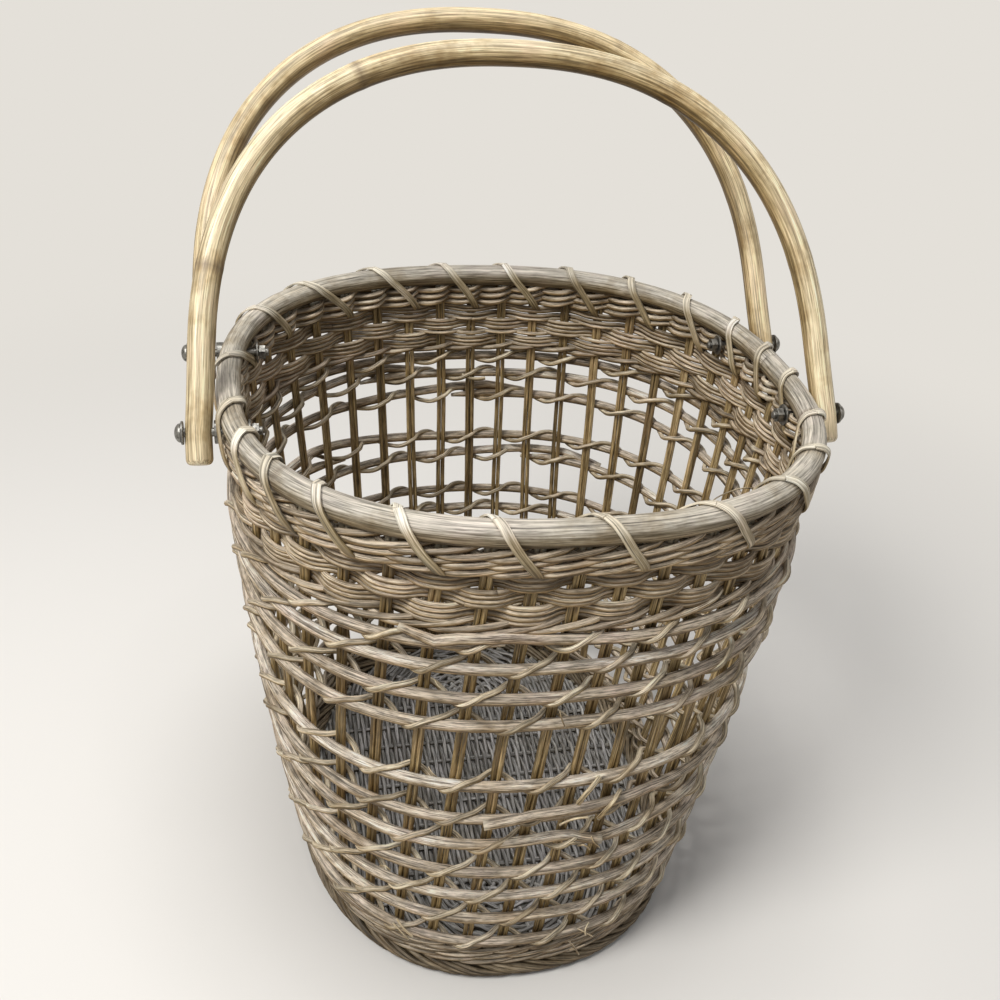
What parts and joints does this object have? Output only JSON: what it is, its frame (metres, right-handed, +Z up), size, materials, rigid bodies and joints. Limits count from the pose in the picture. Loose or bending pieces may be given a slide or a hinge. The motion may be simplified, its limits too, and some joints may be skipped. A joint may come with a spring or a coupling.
{
  "type": "wicker market basket",
  "caption": "Open wicker basket with an oval foot, squarish mouth, lashed pole rim and swinging bent-pole handles bolted through the wall under the rim.",
  "frame": {"origin": "middle of the basket's flat underside, on the surface it stands on", "axes": "+Z up, X along the handle bolts with +X to the right seen from the front, -Y to the front"},
  "size_m": [0.489, 0.4423, 0.6494],
  "materials": {
    "stake_reed": "weathered reed, matt",
    "base_cane": "greyed cane, matt",
    "weathered_cane": "weathered round cane, matt",
    "hoop_cane": "weathered round cane, matt",
    "rim_pole": "streaked cane, satin",
    "lashing_cane": "flat split cane, satin",
    "bent_pole": "golden bent rattan, satin",
    "bright_steel": "zinc-bright steel"
  },
  "bodies": {
    "basket": {"stake_panel_right": "stake_reed", "stake_panel_rear_right": "stake_reed", "stake_panel_rear": "stake_reed", "stake_panel_rear_left": "stake_reed", "stake_panel_left": "stake_reed", "stake_panel_front_left": "stake_reed", "stake_panel_front": "stake_reed", "stake_panel_front_right": "stake_reed", "base_slath": "base_cane", "base_weave_under": "base_cane", "base_weave_upper": "base_cane", "bottom_wale_1": "weathered_cane", "bottom_wale_2": "weathered_cane", "side_hoop_01": "hoop_cane", "side_hoop_02": "hoop_cane", "side_hoop_03": "hoop_cane", "side_hoop_04": "hoop_cane", "side_hoop_05": "hoop_cane", "side_hoop_06": "hoop_cane", "side_hoop_07": "hoop_cane", "side_hoop_08": "hoop_cane", "side_hoop_09": "hoop_cane", "side_hoop_10": "hoop_cane", "side_hoop_11": "hoop_cane", "lower_wale": "weathered_cane", "weave_row_upper": "weathered_cane", "weave_row_middle": "weathered_cane", "weave_row_lower": "weathered_cane", "upper_wale_1": "weathered_cane", "upper_wale_2": "weathered_cane", "upper_wale_inside": "weathered_cane", "rim_pole": "rim_pole", "rim_lashing": "lashing_cane", "bolt_front_left": "bright_steel", "bolt_front_right": "bright_steel", "bolt_rear_left": "bright_steel", "bolt_rear_right": "bright_steel", "outer_washer_front_left": "bright_steel", "outer_washer_front_right": "bright_steel", "outer_washer_rear_left": "bright_steel", "outer_washer_rear_right": "bright_steel", "packing_washer_front_left": "bright_steel", "packing_washer_front_right": "bright_steel", "packing_washer_rear_left": "bright_steel", "packing_washer_rear_right": "bright_steel", "inner_washer_front_left": "bright_steel", "inner_washer_front_right": "bright_steel", "inner_washer_rear_left": "bright_steel", "inner_washer_rear_right": "bright_steel", "nut_front_left": "bright_steel", "nut_front_right": "bright_steel", "nut_rear_left": "bright_steel", "nut_rear_right": "bright_steel"},
    "front_handle": {"handle_front": "bent_pole"},
    "rear_handle": {"handle_rear": "bent_pole"}
  },
  "joints": [
    {"name": "front_handle_swing", "type": "hinge", "parent": "basket", "child": "front_handle", "pos_m": [0, -0.0455, 0.4232], "axis": [1, 0, 0], "range_deg": [-3, 171]},
    {"name": "rear_handle_swing", "type": "hinge", "parent": "basket", "child": "rear_handle", "pos_m": [0, 0.07407, 0.4232], "axis": [-1, 0, 0], "range_deg": [-35, 110]}
  ]
}
